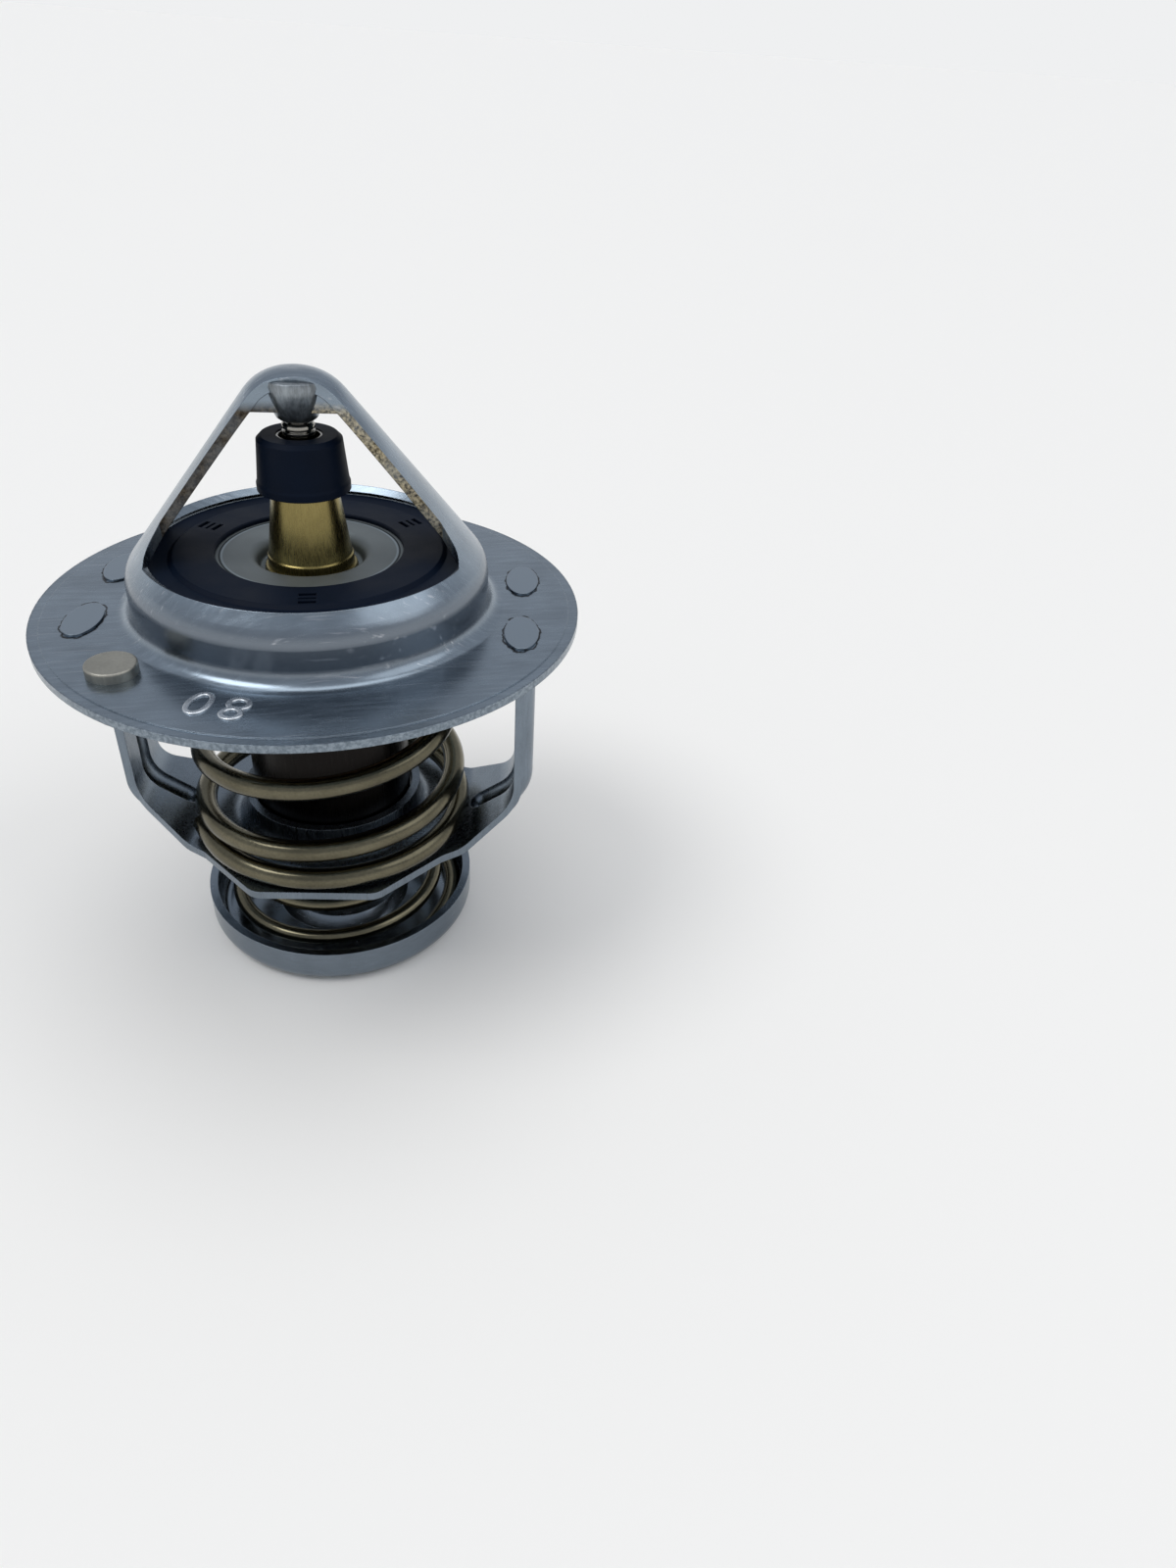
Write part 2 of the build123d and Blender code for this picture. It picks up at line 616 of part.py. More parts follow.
def stem_clip():
    inner = stem_radius - stem_groove_depth + fit_clearance
    top = dish_rise - fit_clearance / 2
    ring = turned([(inner, top - clip_height), (clip_radius, top - clip_height),
                   (clip_radius, top), (inner, top)])
    mouth = Pos(clip_radius, 0, top) * Box(2 * clip_radius, clip_gap, 4 * clip_height)
    return Rot(0, 0, 70) * (ring - mouth)


def jiggle_pin():
    head_top = flange_z + jiggle_head_height
    bulb_top = flange_z - sheet - jiggle_travel
    bulb_low = bulb_top - jiggle_bulb_height
    pin = turned([
        (0, bulb_low), (jiggle_bulb_radius * 0.5, bulb_low),
        (jiggle_bulb_radius, bulb_low + jiggle_bulb_taper),
        (jiggle_bulb_radius, bulb_top - jiggle_bulb_lip), (jiggle_bulb_radius * 0.77, bulb_top),
        (jiggle_shank_radius, bulb_top), (jiggle_shank_radius, flange_z),
        (jiggle_head_radius, flange_z), (jiggle_head_radius, head_top), (0, head_top)])
    pin = fillet(ring_edges(pin, jiggle_head_radius, head_top), jiggle_head_height * 0.18)
    return at(jiggle_turn, jiggle_pitch_radius, 0) * pin


nodes = {
    "upper_frame": upper_frame, "lower_frame": lower_frame, "piston": piston, "guide": guide,
    "guide_cap": guide_cap, "cap_ferrule": cap_ferrule, "pellet_cup": pellet_cup,
    "seal_boot": seal_boot, "backing_ring": backing_ring, "wax_charge": wax_charge,
    "valve_disc": valve_disc, "valve_ring": valve_ring, "main_spring": main_spring,
    "bypass_spring": bypass_spring, "bypass_disc": bypass_disc, "bypass_stem": bypass_stem,
    "stem_clip": stem_clip, "jiggle_pin": jiggle_pin,
}

os.makedirs("parts", exist_ok=True)
for name, make in nodes.items():
    export_step(make(), f"parts/{name}.step")
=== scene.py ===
"""Dressed model of a two-stage wax engine thermostat, standing on its bypass dish."""

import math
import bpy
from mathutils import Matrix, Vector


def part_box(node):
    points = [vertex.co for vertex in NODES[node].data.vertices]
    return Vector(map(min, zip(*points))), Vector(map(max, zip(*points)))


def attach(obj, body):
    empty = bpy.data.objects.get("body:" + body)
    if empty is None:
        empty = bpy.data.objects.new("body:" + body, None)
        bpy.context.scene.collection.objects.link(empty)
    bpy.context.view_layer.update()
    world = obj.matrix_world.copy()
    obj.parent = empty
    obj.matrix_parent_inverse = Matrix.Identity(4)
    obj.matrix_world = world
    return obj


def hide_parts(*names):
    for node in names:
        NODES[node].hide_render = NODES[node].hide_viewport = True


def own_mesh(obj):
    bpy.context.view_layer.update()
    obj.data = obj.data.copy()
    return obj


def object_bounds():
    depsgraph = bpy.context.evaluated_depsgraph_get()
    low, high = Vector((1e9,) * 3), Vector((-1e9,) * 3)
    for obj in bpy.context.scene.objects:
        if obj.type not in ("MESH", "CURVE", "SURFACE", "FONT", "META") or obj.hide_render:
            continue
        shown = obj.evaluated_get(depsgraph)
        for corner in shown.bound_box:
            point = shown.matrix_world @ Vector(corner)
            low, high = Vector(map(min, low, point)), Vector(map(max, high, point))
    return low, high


bl_info = {
    "name": "Wax Engine Thermostat",
    "version": (1, 0, 0),
    "blender": (4, 5, 0),
    "location": "3D View > Sidebar > Thermostat",
    "description": "Finishes the packed thermostat with springs, stampings, materials and a studio",
    "category": "Object",
}

import bpy
from mathutils import Euler, Matrix, Vector

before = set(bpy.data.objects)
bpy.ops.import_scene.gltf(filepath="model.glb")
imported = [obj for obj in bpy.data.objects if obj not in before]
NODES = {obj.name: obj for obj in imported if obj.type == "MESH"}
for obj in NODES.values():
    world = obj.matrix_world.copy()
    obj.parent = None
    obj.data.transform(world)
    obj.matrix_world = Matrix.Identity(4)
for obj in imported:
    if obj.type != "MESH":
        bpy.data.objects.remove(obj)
cad_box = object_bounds()

MM = 0.001

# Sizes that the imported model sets, in metres.
PIN_HEAD_RISE = 1.1 * MM
FLANGE_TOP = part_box("jiggle_pin")[1].z - PIN_HEAD_RISE
FLANGE_RADIUS = cad_box[1][0]
MAIN_LOW, MAIN_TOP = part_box("main_spring")[0].z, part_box("main_spring")[1].z
BYPASS_LOW, BYPASS_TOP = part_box("bypass_spring")[0].z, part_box("bypass_spring")[1].z
VALVE_STROKE = 9 * MM
BYPASS_STROKE = 5 * MM

# Lumps of torn steel, shared by the window walls and the flange's rim.
TEAR_MM = 0.35

# Half of the boss's section: radius, and height above the flange, in millimetres.
BOSS_OUTLINE = ((1.25, 20.6), (1.95, 20.58), (2.15, 20.75), (2.4, 21.3), (2.7, 22.0), (2.95, 22.7),
                (3.15, 23.4), (3.3, 24.2), (3.2, 24.6), (2.9, 24.75), (1.25, 24.75))

# Lamps: name, power, spread, direction about the axis and rise, in degrees.
LAMPS = (("key softbox", 0.84, 30.0, -172.0, 60.0),
         ("fill softbox", 0.4, 44.0, -25.0, 45.0),
         ("top softbox", 0.5, 40.0, 75.0, 78.0))


class ThermostatSizes(bpy.types.PropertyGroup):
    """Sizes of the pieces that are modelled here."""

    main_wire: bpy.props.FloatProperty(
        name="Main wire", description="Thickness of the main spring's wire",
        default=2.6 * MM, unit="LENGTH")
    main_low_radius: bpy.props.FloatProperty(
        name="Main low radius", description="Radius of the main spring's lowest coil, to the wire's middle",
        default=16.1 * MM, unit="LENGTH")
    main_top_radius: bpy.props.FloatProperty(
        name="Main top radius", description="Radius of the main spring's highest coil, to the wire's middle",
        default=13.4 * MM, unit="LENGTH")
    main_turns: bpy.props.FloatProperty(
        name="Main turns", description="Turns in the main spring, closed ends included", default=4.83)
    main_start: bpy.props.FloatProperty(
        name="Main start", description="Direction of the main spring's lower end",
        default=math.radians(188), subtype="ANGLE")
    main_lean: bpy.props.FloatProperty(
        name="Main lean", description="How far the main spring's lower end sits off the valve axis",
        default=0.7 * MM, unit="LENGTH")
    bypass_wire: bpy.props.FloatProperty(
        name="Bypass wire", description="Thickness of the bypass spring's wire",
        default=1.9 * MM, unit="LENGTH")
    bypass_low_radius: bpy.props.FloatProperty(
        name="Bypass low radius", description="Radius of the bypass spring's widest coil",
        default=14.9 * MM, unit="LENGTH")
    bypass_top_radius: bpy.props.FloatProperty(
        name="Bypass top radius", description="Radius of the bypass spring's narrowest coil",
        default=6.8 * MM, unit="LENGTH")
    bypass_turns: bpy.props.FloatProperty(
        name="Bypass turns", description="Turns in the bypass spring, closed ends included", default=3.6)
    bypass_start: bpy.props.FloatProperty(
        name="Bypass start", description="Direction of the bypass spring's lower end",
        default=math.radians(-48), subtype="ANGLE")
    number: bpy.props.StringProperty(
        name="Number", description="Plain number stamped in the flange", default="80")
    number_height: bpy.props.FloatProperty(
        name="Number height", description="Height of the figures stamped in the flange",
        default=4.1 * MM, unit="LENGTH")
    number_turn: bpy.props.FloatProperty(
        name="Number place", description="Direction of the stamped number about the valve axis",
        default=math.radians(-115), subtype="ANGLE")
    number_radius: bpy.props.FloatProperty(
        name="Number radius", description="Distance of the stamped number from the valve axis",
        default=24.0 * MM, unit="LENGTH")


class ThermostatColours(bpy.types.PropertyGroup):
    """Colours of the finishes, as sRGB hex values."""

    stainless: bpy.props.StringProperty(
        name="Drawn stainless", description="Satin sheet of the flange and bridge", default="929FAB")
    burnished: bpy.props.StringProperty(
        name="Burnished stainless", description="Boss in the bridge", default="B6BEC4")
    # The figures' colour is lighter than the sheet: a painted highlight.
    figures: bpy.props.StringProperty(
        name="Struck stainless", description="Figures stamped in the flange", default="DCE2E8")
    bright_sheet: bpy.props.StringProperty(
        name="Rolled stainless", description="Bright sheet of the legs and the bypass dish", default="838E99")
    rubber: bpy.props.StringProperty(
        name="Moulded rubber", description="Cap and sealing ring", default="050F1E")
    brass: bpy.props.StringProperty(
        name="Turned brass", description="Cone of the guide", default="A3945F")
    grey_disc: bpy.props.StringProperty(
        name="Pressed steel", description="Matt disc of the main valve", default="838A8C")
    wire: bpy.props.StringProperty(
        name="Spring wire", description="Drawn stainless wire with a straw tint", default="77725F")
    copper: bpy.props.StringProperty(
        name="Drawn copper", description="Darkened cup of the wax element", default="967C6A")
    polished: bpy.props.StringProperty(
        name="Hardened steel", description="Polished piston and ferrule", default="A5A29B")
    blued: bpy.props.StringProperty(
        name="Blued steel", description="Clip on the bypass stem", default="5C5A58")
    nickel: bpy.props.StringProperty(
        name="Dull nickel", description="Head of the loose pin", default="A9A79E")
    plastic: bpy.props.StringProperty(
        name="Fluoroplastic", description="Ring behind the element's seal", default="D8D6CC")
    wax: bpy.props.StringProperty(
        name="Wax", description="Copper-filled wax in the element", default="9E6A48")
    floor: bpy.props.StringProperty(
        name="Floor", description="Pale studio floor", default="F4F2EE")
    horizon: bpy.props.StringProperty(
        name="Horizon", description="The room where it meets the floor", default="EFF0F1")
    ceiling: bpy.props.StringProperty(
        name="Ceiling", description="The room higher up", default="B9BDC4")


def linear(text):
    """Linear RGBA of an sRGB hex value."""
    values = [int(text[i:i + 2], 16) / 255 for i in (0, 2, 4)]
    return [v / 12.92 if v <= 0.04045 else ((v + 0.055) / 1.055) ** 2.4 for v in values] + [1.0]


def add(tree, kind, values=None, **settings):
    """Adds one node with its settings, its values and its links."""
    made = tree.nodes.new("ShaderNode" + kind)
    for name, value in settings.items():
        setattr(made, name, value)
    for key, value in (values or {}).items():
        if isinstance(value, bpy.types.NodeSocket):
            tree.links.new(value, made.inputs[key])
        else:
            made.inputs[key].default_value = value
    return made


def new_material(name):
    """An empty material with its output node."""
    material = bpy.data.materials.new(name)
    material.use_nodes = True
    material.node_tree.nodes.clear()
    return material, material.node_tree, material.node_tree.nodes.new("ShaderNodeOutputMaterial")


def mix_colour(tree, share, first, second, **settings):
    """The second colour over the first, by a share."""
    return add(tree, "Mix", {0: share, 6: first, 7: second}, data_type="RGBA", **settings).outputs[2]


def mix_value(tree, share, first, second):
    """A number between the first and the second, by a share."""
    return add(tree, "Mix", {0: share, 2: first, 3: second}, data_type="FLOAT").outputs[0]


def ramp(tree, value, start, end, low=0.0, high=1.0, **settings):
    """Low where a value is at its start, high where it is at its end."""
    return add(tree, "MapRange", {"Value": value, "From Min": start, "From Max": end,
                                  "To Min": low, "To Max": high}, **settings).outputs[0]


def maths(tree, operation, first, second=0.0):
    """One sum with a value."""
    return add(tree, "Math", {0: first, 1: second}, operation=operation).outputs[0]


def band(tree, value, middle, width, soft):
    """1 where a value is within half a width of the middle, fading to 0 over a soft margin."""
    away = maths(tree, "ABSOLUTE", maths(tree, "SUBTRACT", value, middle))
    return ramp(tree, away, width / 2 + soft, width / 2)


def noise(tree, place, lump_mm, detail=2.0, roughness=0.5):
    """Noise with lumps of about the given size."""
    return add(tree, "TexNoise", {"Vector": place, "Scale": 1000 / lump_mm, "Detail": detail,
                                  "Roughness": roughness}).outputs[0]


def apart(tree, vector):
    """The x, y and z of a vector."""
    return add(tree, "SeparateXYZ", {0: vector}).outputs


def off_axis(tree, place):
    """Distance from the valve axis."""
    flat = add(tree, "VectorMath", {0: place.outputs["Object"], 1: (1, 1, 0)}, operation="MULTIPLY")
    return add(tree, "VectorMath", {0: flat.outputs[0]}, operation="LENGTH").outputs["Value"]


def metal(name, colour, shade, rough, grain_mm, stretch, bump, turn=0.0, marks=()):
    """Bare metal: a grain of the given size, stretched the way the sheet or bar was worked.

    Shade is how much its streaks and patches darken it, and rough is its least and most roughness.
    Each of the marks adds what belongs to one piece, and gives its colour, roughness and height back.
    """
    material, tree, out = new_material(name)
    place = add(tree, "TexCoord")
    spot = place.outputs["Object"]
    long_grain = add(tree, "Mapping", {"Vector": spot, "Rotation": (0, 0, turn), "Scale": stretch})
    grain = noise(tree, long_grain.outputs[0], grain_mm, 4.0, 0.65)
    patches = ramp(tree, noise(tree, spot, 6.25, 4.0), 0.35, 0.65)
    dark = [c * (1 - shade) for c in linear(colour)[:3]] + [1.0]
    streak = ramp(tree, grain, 0.3, 0.7, 1 - shade, 1.0)
    body = mix_colour(tree, 1.0, mix_colour(tree, patches, dark, linear(colour)), streak,
                      blend_type="MULTIPLY")
    sheen = ramp(tree, grain, 0.25, 0.75, *rough)
    height = grain
    for mark in marks:
        body, sheen, height = mark(tree, place, body, sheen, height)
    edges = add(tree, "Bevel", {"Radius": 0.12 * MM}, samples=4)
    relief = add(tree, "Bump", {"Height": height, "Normal": edges.outputs[0],
                                "Strength": bump, "Distance": 0.02 * MM})
    surface = add(tree, "BsdfPrincipled", {"Base Color": body, "Metallic": 1.0,
                                           "Roughness": sheen, "Normal": relief.outputs[0]})
    tree.links.new(surface.outputs[0], out.inputs[0])
    return material


def matt(name, colour, rough, grain_mm, bump, gloss=0.5):
    """Rubber or plastic with the fine texture of its mould, and a bloom that dulls it in patches."""
    material, tree, out = new_material(name)
    spot = add(tree, "TexCoord").outputs["Object"]
    grain = noise(tree, spot, grain_mm, 5.0)
    bloom = noise(tree, spot, 5.556, 4.0)
    pale = [min(1.0, c * 1.3 + 0.0012) for c in linear(colour)[:3]] + [1.0]
    body = mix_colour(tree, ramp(tree, bloom, 0.35, 0.7), linear(colour), pale)
    sheen = ramp(tree, bloom, 0.3, 0.7, *rough)
    edges = add(tree, "Bevel", {"Radius": 0.15 * MM}, samples=4)
    relief = add(tree, "Bump", {"Height": grain, "Normal": edges.outputs[0],
                                "Strength": bump, "Distance": 0.03 * MM})
    surface = add(tree, "BsdfPrincipled", {"Base Color": body, "Roughness": sheen,
                                           "Specular IOR Level": gloss, "Normal": relief.outputs[0]})
    tree.links.new(surface.outputs[0], out.inputs[0])
    return material


def torn_walls(tree, place, body, sheen, height):
    """The bridge's windows were punched out: their walls are torn, dull and brownish."""
    bridge_turn = math.radians(7)
    across = add(tree, "Mapping", {"Vector": place.outputs["Normal"], "Rotation": (0, 0, bridge_turn)},
                 vector_type="VECTOR")
    side = maths(tree, "ABSOLUTE", apart(tree, across.outputs[0])[1])
    wall = ramp(tree, side, 0.72, 0.85)
    x, _, z = apart(tree, place.outputs["Object"])
    level = band(tree, z, FLANGE_TOP + 14.8 * MM, 14.0 * MM, 1.0 * MM)
    tear = noise(tree, place.outputs["Object"], TEAR_MM, 5.0, 0.7)
    bare = ramp(tree, noise(tree, place.outputs["Object"], 2.381, 3.0), 0.3, 0.6, 0.7, 1.0)
    torn = maths(tree, "MULTIPLY", maths(tree, "MULTIPLY", wall, level), bare)
    # One arm's wall is painted darker and the other lighter: painted shade and painted light, by side.
    painted_light_side = ramp(tree, x, -3 * MM, 3 * MM)
    # Dark for the left arm's wall, pale for the right: painted shade and painted light.
    bright = mix_colour(tree, painted_light_side, linear("5C554B"), linear("C4B89A"))
    brown = mix_colour(tree, ramp(tree, tear, 0.38, 0.62), linear("2B241C"), bright)
    body = mix_colour(tree, torn, body, brown)
    sheen = mix_value(tree, torn, sheen, 0.38)
    height = mix_value(tree, torn, height, maths(tree, "MULTIPLY", tear, 7.0))
    return body, sheen, height


def burnished_collar_painted_reflection(tree, place, body, sheen, height):
    """The die burnished the collar's wall, which makes it smoother; its darker colour is a painted dark
    reflection.
    """
    z = apart(tree, place.outputs["Object"])[2]
    level = band(tree, z, FLANGE_TOP + 3.4 * MM, 4.0 * MM, 1.4 * MM)
    tilt = maths(tree, "ABSOLUTE", apart(tree, place.outputs["Normal"])[2])
    # The wall is smoother by the burnish, and darker by a painted dark reflection.
    drawn = maths(tree, "MULTIPLY", ramp(tree, tilt, 0.85, 0.3), level)
    body = mix_colour(tree, drawn, body, linear("777F88"))
    return body, mix_value(tree, drawn, sheen, 0.27), height


def sheared_rim_painted_glints(tree, place, body, sheen, height):
    """The flange's rim was sheared: a darker, rough tone, with lighter specks painted on as glints."""
    rim = ramp(tree, off_axis(tree, place), FLANGE_RADIUS - 0.25 * MM, FLANGE_RADIUS - 0.05 * MM)
    tear = noise(tree, place.outputs["Object"], TEAR_MM, 5.0, 0.7)
    # Darker sheared tone, with lighter specks that are painted glints.
    shear_tone_and_glints = mix_colour(tree, ramp(tree, tear, 0.42, 0.62), linear("6C7781"), linear("919CA6"))
    body = mix_colour(tree, rim, body, shear_tone_and_glints)
    return body, sheen, mix_value(tree, rim, height, maths(tree, "MULTIPLY", tear, 3.0))


def scratches(tree, place, body, sheen, height):
    """Fine scratches from handling run across the flange at a slant."""
    slant = add(tree, "Mapping", {"Vector": place.outputs["Object"], "Rotation": (0, 0, math.radians(-38)),
                                  "Scale": (0.03, 1.0, 0.4)})
    line = ramp(tree, noise(tree, slant.outputs[0], 0.3, 3.0), 0.62, 0.72)
    where = ramp(tree, noise(tree, place.outputs["Object"], 14.286), 0.45, 0.6, 0.0, 0.55)
    scratched = maths(tree, "MULTIPLY", line, where)
    return mix_colour(tree, scratched, body, linear("C9CCD2")), sheen, height


def tab_seams(tree, place, body, sheen, height):
    """The four tab heads were hammered flat, and a thin dark ragged line shows round each."""
    strips = add(tree, "Mapping", {"Vector": place.outputs["Object"],
                                   "Rotation": (0, 0, math.radians(12))})
    x, y, _ = apart(tree, strips.outputs[0])
    # Each seam is an oval, 3.8 by 7.6 mm, about the middle of its head.
    run = ramp(tree, maths(tree, "ABSOLUTE", x), 23.5 * MM, (23.5 + 1.9) * MM, clamp=False)
    wide = ramp(tree, maths(tree, "ABSOLUTE", y), 6.8 * MM, (6.8 + 3.8) * MM, clamp=False)
    oval = add(tree, "CombineXYZ", {0: run, 1: wide})
    ring = add(tree, "VectorMath", {0: oval.outputs[0]}, operation="LENGTH").outputs["Value"]
    waver = ramp(tree, noise(tree, place.outputs["Object"], 1.1, 3.0), 0.3, 0.7, 0.98, 1.16)
    seam = band(tree, maths(tree, "SUBTRACT", ring, waver), 0.0, 0.05, 0.05)
    return mix_colour(tree, seam, body, linear("23262B")), sheen, height


def tab_heads(tree, place, body, sheen, height):
    """The tab heads lie hammered flat on the flange, and took on its satin finish."""
    z = apart(tree, place.outputs["Object"])[2]
    head = ramp(tree, z, FLANGE_TOP - 0.3 * MM, FLANGE_TOP - 0.1 * MM)
    satin = linear(bpy.context.scene.thermostat_colours.stainless)
    body = mix_colour(tree, head, body, [c * 0.9 for c in satin[:3]] + [1.0])
    return body, mix_value(tree, head, sheen, 0.3), height


def punch_line(tree, place, body, sheen, height):
    """Painted shade in the line that the punch left round the disc, and a painted highlight on its lip."""
    radius = off_axis(tree, place)
    groove_painted_shade = band(tree, radius, 9.72 * MM, 0.16 * MM, 0.06 * MM)
    lip_painted_highlight = band(tree, radius, 9.5 * MM, 0.12 * MM, 0.1 * MM)
    body = mix_colour(tree, groove_painted_shade, body, linear("33383C"))
    return mix_colour(tree, lip_painted_highlight, body, linear("97A2A8")), sheen, height


def dark_foot(tree, place, body, sheen, height):
    """The lower part of the cup is near black, below a ragged line."""
    z = apart(tree, place.outputs["Object"])[2]
    ragged = ramp(tree, noise(tree, place.outputs["Object"], 3.125, 4.0), 0.0, 1.0, -1.5 * MM, 1.5 * MM)
    level = maths(tree, "ADD", z, ragged)
    black = ramp(tree, level, FLANGE_TOP - 10 * MM, FLANGE_TOP - 13.5 * MM)
    return mix_colour(tree, black, body, linear("211F1E")), sheen, height


def dress(node, material):
    """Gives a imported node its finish."""
    NODES[node].material_slots[0].material = material


def deselect():
    """Leaves nothing selected."""
    if bpy.context.object and bpy.context.object.mode != "OBJECT":
        bpy.ops.object.mode_set(mode="OBJECT")
    bpy.ops.object.select_all(action="DESELECT")


def wire_coil(name, wire, low, top, low_radius, top_radius, turns, start, closed, ease_low, ease_top,
              lean=0.0):
    """Smooth right-handed spring as a mesh tube.

    Closed, ease_low and ease_top are in turns: both ends lie flat over closed, and the pitch grows
    over ease_low and falls over ease_top. Lean moves the lower end off the axis towards -Y, as a
    spring sits that nothing centres.
    """
    deselect()
    bpy.ops.curve.primitive_nurbs_path_add()
    coil = bpy.context.object
    coil.name = coil.data.name = name
    line = coil.data.splines[0]
    around = 24
    steps = math.ceil(turns * around)
    line.points.add(steps + 1 - len(line.points))
    # A cubic curve runs inside its points by this factor.
    inside = (2 + math.cos(2 * math.pi / around)) / 3
    floor, roof = low + wire / 2, top - wire / 2
    free = turns - 2 * closed
    full = free - (ease_low + ease_top) / 2
    for index, point in enumerate(line.points):
        share = index / steps
        turn = min(max(share * turns - closed, 0), free)
        if turn < ease_low:
            lift = turn * turn / 2 / ease_low
        elif turn > free - ease_top:
            lift = full - (free - turn) ** 2 / 2 / ease_top
        else:
            lift = turn - ease_low / 2
        radius = (low_radius + (top_radius - low_radius) * share) / inside
        angle = start + 2 * math.pi * share * turns
        point.co = (radius * math.cos(angle), radius * math.sin(angle) - lean * (1 - share),
                    floor + (roof - floor) * lift / full, 1)
    line.use_cyclic_u = False
    line.order_u = 4
    line.use_endpoint_u = True
    line.resolution_u = 4
    coil.data.dimensions = "3D"
    coil.data.bevel_depth = wire / 2
    coil.data.bevel_resolution = 6
    coil.data.use_fill_caps = True
    coil.location = (0, 0, 0)
    bpy.ops.object.convert(target="MESH")
    coil = bpy.context.object
    bpy.ops.object.transform_apply(location=True, rotation=True, scale=True)
    bpy.ops.object.shade_smooth_by_angle(angle=math.radians(40))
    return coil


def lathe(name, outline, around=64):
    """Closed turned piece from an outline of (radius, z) points, drawn out ring by ring."""
    deselect()
    first = outline[0]
    bpy.ops.mesh.primitive_circle_add(vertices=around, radius=first[0], location=(0, 0, first[1]))
    piece = bpy.context.object
    piece.name = piece.data.name = name
    bpy.ops.object.transform_apply(location=True, rotation=True, scale=True)
    bpy.ops.object.mode_set(mode="EDIT")
    bpy.ops.mesh.select_all(action="SELECT")
    for (radius, z), (new_radius, new_z) in zip(outline, outline[1:] + outline[:1]):
        bpy.ops.mesh.extrude_edges_move(TRANSFORM_OT_translate={"value": (0, 0, new_z - z)})
        grow = new_radius / radius
        bpy.ops.transform.resize(value=(grow, grow, 1), center_override=(0, 0, new_z))
    bpy.ops.mesh.select_all(action="SELECT")
    bpy.ops.mesh.remove_doubles(threshold=1e-6)
    bpy.ops.mesh.normals_make_consistent(inside=False)
    bpy.ops.object.mode_set(mode="OBJECT")
    bpy.ops.object.shade_smooth_by_angle(angle=math.radians(35))
    return piece


class THERMOSTAT_OT_stage(bpy.types.Operator):
    """Set up the floor, the lamps, the world and the camera"""

    bl_idname = "thermostat.stage"
    bl_label = "Studio"

    def execute(self, context):
        colours = context.scene.thermostat_colours
        scene = context.scene
        deselect()
        bpy.ops.mesh.primitive_plane_add(size=40.0)
        floor = context.object
        floor.name = "floor"
        # Flat wall paint: pale and nearly without gloss.
        material, tree, out = new_material("painted studio floor")
        cloud = noise(tree, add(tree, "TexCoord").outputs["Object"], 166.7)
        paint = add(tree, "BsdfPrincipled", {"Base Color": linear(colours.floor),
                                             "Roughness": ramp(tree, cloud, 0.0, 1.0, 0.68, 0.76)})
        tree.links.new(paint.outputs[0], out.inputs[0])
        floor.data.materials.append(material)
        # The thermostat stands on its bypass dish, so the floor keeps under the dish at every pose.
        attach(floor, "bypass_valve")

        # The room is pale where it meets the floor, and a plain mid grey higher up.
        world = bpy.data.worlds.new("studio")
        scene.world = world
        world.use_nodes = True
        world.node_tree.nodes.clear()
        tree = world.node_tree
        out = tree.nodes.new("ShaderNodeOutputWorld")
        facing = apart(tree, add(tree, "TexCoord").outputs["Generated"])[2]
        rise = ramp(tree, facing, 0.08, 0.4, interpolation_type="SMOOTHSTEP")
        wall = mix_colour(tree, rise, linear(colours.horizon), linear(colours.ceiling))
        sky = add(tree, "Background", {"Color": wall, "Strength": 1.0})
        tree.links.new(sky.outputs[0], out.inputs[0])

        for name, power, spread, turn, rise in LAMPS:
            light = bpy.data.lights.new(name, "SUN")
            light.energy = power
            light.angle = math.radians(spread)
            lamp = bpy.data.objects.new(name, light)
            scene.collection.objects.link(lamp)
            across, up = math.radians(turn), math.radians(rise)
            toward = Vector((math.cos(up) * math.cos(across), math.cos(up) * math.sin(across),
                             math.sin(up)))
            lamp.location = toward
            lamp.rotation_euler = toward.to_track_quat("Z", "Y").to_euler()

        # The camera stands in front and a little above the bridge, and looks down on the flange.
        camera = bpy.data.objects.new("camera", bpy.data.cameras.new("camera"))
        scene.collection.objects.link(camera)
        camera.data.lens = 24.0
        camera.data.sensor_width = 36.0
        camera.data.clip_start = 5 * MM
        pitch, swing, tilt = math.radians(35.54), math.radians(17.0), math.radians(4.14)
        aim = Euler((math.pi / 2 - pitch, 0, -swing)).to_matrix() @ Matrix.Rotation(tilt, 3, "Z")
        camera.matrix_world = (Matrix.Translation((-0.5 * MM, -113 * MM, FLANGE_TOP + 54.2 * MM))
                               @ aim.to_4x4())
        scene.camera = camera
        scene.view_settings.view_transform = "Standard"
        return {"FINISHED"}


class THERMOSTAT_OT_frames(bpy.types.Operator):
    """Finish the flange with its bridge and the legs with their plate"""

    bl_idname = "thermostat.frames"
    bl_label = "Flange, Bridge and Legs"

    def execute(self, context):
        colours = context.scene.thermostat_colours
        # Cold-drawn stainless sheet, barrel finished: a satin, bluish grey with a soft streaky sheen.
        dress("upper_frame", metal("satin drawn stainless sheet", colours.stainless, 0.16, (0.17, 0.32),
                                   0.45, (0.10, 1.0, 0.4), 0.3, math.radians(24),
                                   (torn_walls, burnished_collar_painted_reflection, sheared_rim_painted_glints, scratches, tab_seams)))
        # Rolled strip, folded: a plain bluish grey that mirrors the room in soft dark and pale bands.
        dress("lower_frame", metal("bright rolled stainless strip", colours.bright_sheet, 0.16,
                                   (0.22, 0.36), 0.35, (1.0, 1.0, 0.10), 0.25, 0.0, (tab_heads,)))
        return {"FINISHED"}


